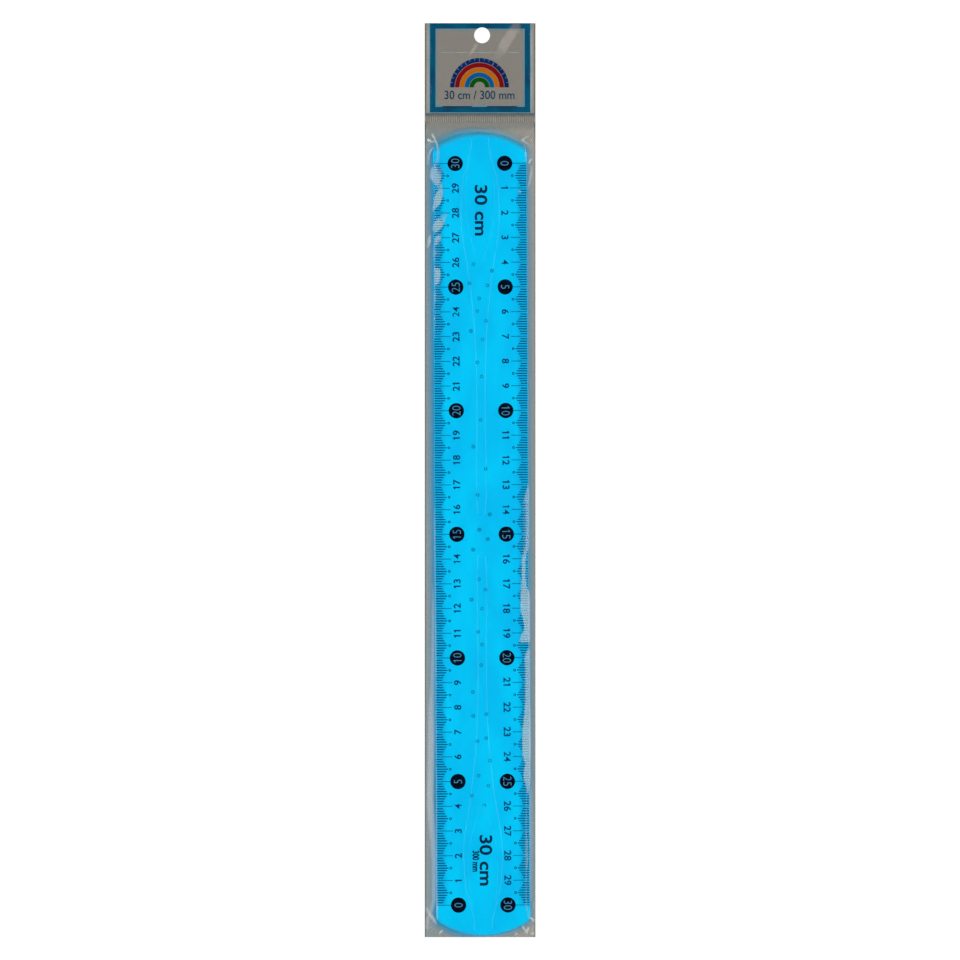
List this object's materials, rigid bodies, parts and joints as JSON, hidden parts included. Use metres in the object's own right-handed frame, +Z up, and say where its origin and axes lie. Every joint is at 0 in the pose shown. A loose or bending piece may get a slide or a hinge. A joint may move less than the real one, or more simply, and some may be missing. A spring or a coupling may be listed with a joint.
{
  "type": "flexible ruler",
  "caption": "Soft translucent blue strip ruler with a centimetre scale on both long edges, heat-sealed in a clear hang sleeve with a printed header; strip and sleeve bend together.",
  "frame": {"origin": "middle of the sleeve's underside, on the surface that it lies on", "axes": "+Y along the ruler towards the header with the hang hole, +X across it to the right as the scale is seen from above, +Z up out of the printed face"},
  "size_m": [0.0448, 0.3702, 0.0025],
  "materials": {
    "ruler_vinyl": "soft translucent cyan-blue vinyl, satin",
    "scale_ink": "dark navy screen-printing ink",
    "front_film": "clear glossy packing film",
    "back_film": "smoky translucent packing film",
    "border_ink": "teal-blue printed film",
    "motif_ink": "coloured printed film",
    "seal_film": "ribbed heat-sealed film"
  },
  "bodies": {
    "span_01": {"ruler_body_01": "ruler_vinyl", "left_scale_print_01": "scale_ink", "right_scale_print_01": "scale_ink", "sleeve_front_01": "front_film", "sleeve_back_01": "back_film"},
    "span_02": {"ruler_body_02": "ruler_vinyl", "left_scale_print_02": "scale_ink", "right_scale_print_02": "scale_ink", "sleeve_front_02": "front_film", "sleeve_back_02": "back_film"},
    "span_03": {"ruler_body_03": "ruler_vinyl", "left_scale_print_03": "scale_ink", "right_scale_print_03": "scale_ink", "sleeve_front_03": "front_film", "sleeve_back_03": "back_film"},
    "span_04": {"ruler_body_04": "ruler_vinyl", "left_scale_print_04": "scale_ink", "right_scale_print_04": "scale_ink", "sleeve_front_04": "front_film", "sleeve_back_04": "back_film"},
    "span_05": {"ruler_body_05": "ruler_vinyl", "left_scale_print_05": "scale_ink", "right_scale_print_05": "scale_ink", "sleeve_front_05": "front_film", "sleeve_back_05": "back_film"},
    "span_06": {"ruler_body_06": "ruler_vinyl", "left_scale_print_06": "scale_ink", "right_scale_print_06": "scale_ink", "sleeve_front_06": "front_film", "sleeve_back_06": "back_film"},
    "span_07": {"ruler_body_07": "ruler_vinyl", "left_scale_print_07": "scale_ink", "right_scale_print_07": "scale_ink", "sleeve_front_07": "front_film", "sleeve_back_07": "back_film"},
    "span_08": {"ruler_body_08": "ruler_vinyl", "left_scale_print_08": "scale_ink", "right_scale_print_08": "scale_ink", "sleeve_front_08": "front_film", "sleeve_back_08": "back_film"},
    "span_09": {"ruler_body_09": "ruler_vinyl", "left_scale_print_09": "scale_ink", "right_scale_print_09": "scale_ink", "sleeve_front_09": "front_film", "sleeve_back_09": "back_film"},
    "span_10": {"ruler_body_10": "ruler_vinyl", "left_scale_print_10": "scale_ink", "right_scale_print_10": "scale_ink", "sleeve_front_10": "front_film", "sleeve_back_10": "back_film"},
    "span_11": {"ruler_body_11": "ruler_vinyl", "left_scale_print_11": "scale_ink", "right_scale_print_11": "scale_ink", "sleeve_front_11": "front_film", "sleeve_back_11": "back_film"},
    "header": {"header_front_film": "front_film", "header_back_film": "back_film", "header_border_print": "border_ink", "header_motif_print": "motif_ink", "ribbed_heat_seal": "seal_film"}
  },
  "joints": [
    {"name": "upper_bend_1", "type": "hinge", "parent": "span_06", "child": "span_07", "pos_m": [0, -0.00835, 0.00095], "axis": [1, 0, 0], "range_deg": [-24, 24], "stiffness_Nm_per_rad": 0.02},
    {"name": "upper_bend_2", "type": "hinge", "parent": "span_07", "child": "span_08", "pos_m": [0, 0.02165, 0.00095], "axis": [1, 0, 0], "range_deg": [-24, 24], "stiffness_Nm_per_rad": 0.02},
    {"name": "upper_bend_3", "type": "hinge", "parent": "span_08", "child": "span_09", "pos_m": [0, 0.05165, 0.00095], "axis": [1, 0, 0], "range_deg": [-24, 24], "stiffness_Nm_per_rad": 0.02},
    {"name": "upper_bend_4", "type": "hinge", "parent": "span_09", "child": "span_10", "pos_m": [0, 0.08165, 0.00095], "axis": [1, 0, 0], "range_deg": [-24, 24], "stiffness_Nm_per_rad": 0.02},
    {"name": "upper_bend_5", "type": "hinge", "parent": "span_10", "child": "span_11", "pos_m": [0, 0.11165, 0.00095], "axis": [1, 0, 0], "range_deg": [-24, 24], "stiffness_Nm_per_rad": 0.02},
    {"name": "lower_bend_1", "type": "hinge", "parent": "span_06", "child": "span_05", "pos_m": [0, -0.03535, 0.00095], "axis": [-1, 0, 0], "range_deg": [-24, 24], "stiffness_Nm_per_rad": 0.02},
    {"name": "lower_bend_2", "type": "hinge", "parent": "span_05", "child": "span_04", "pos_m": [0, -0.06535, 0.00095], "axis": [-1, 0, 0], "range_deg": [-24, 24], "stiffness_Nm_per_rad": 0.02},
    {"name": "lower_bend_3", "type": "hinge", "parent": "span_04", "child": "span_03", "pos_m": [0, -0.09535, 0.00095], "axis": [-1, 0, 0], "range_deg": [-24, 24], "stiffness_Nm_per_rad": 0.02},
    {"name": "lower_bend_4", "type": "hinge", "parent": "span_03", "child": "span_02", "pos_m": [0, -0.12535, 0.00095], "axis": [-1, 0, 0], "range_deg": [-24, 24], "stiffness_Nm_per_rad": 0.02},
    {"name": "lower_bend_5", "type": "hinge", "parent": "span_02", "child": "span_01", "pos_m": [0, -0.15535, 0.00095], "axis": [-1, 0, 0], "range_deg": [-24, 24], "stiffness_Nm_per_rad": 0.02},
    {"name": "header_fold", "type": "hinge", "parent": "span_11", "child": "header", "pos_m": [0, 0.14345, 0.00013], "axis": [1, 0, 0], "range_deg": [-90, 90], "stiffness_Nm_per_rad": 0.001}
  ],
  "couplings": [
    {"joint": "upper_bend_2", "follows": "upper_bend_1", "ratio": 1},
    {"joint": "upper_bend_3", "follows": "upper_bend_1", "ratio": 1},
    {"joint": "upper_bend_4", "follows": "upper_bend_1", "ratio": 1},
    {"joint": "upper_bend_5", "follows": "upper_bend_1", "ratio": 1},
    {"joint": "lower_bend_2", "follows": "lower_bend_1", "ratio": 1},
    {"joint": "lower_bend_3", "follows": "lower_bend_1", "ratio": 1},
    {"joint": "lower_bend_4", "follows": "lower_bend_1", "ratio": 1},
    {"joint": "lower_bend_5", "follows": "lower_bend_1", "ratio": 1}
  ]
}
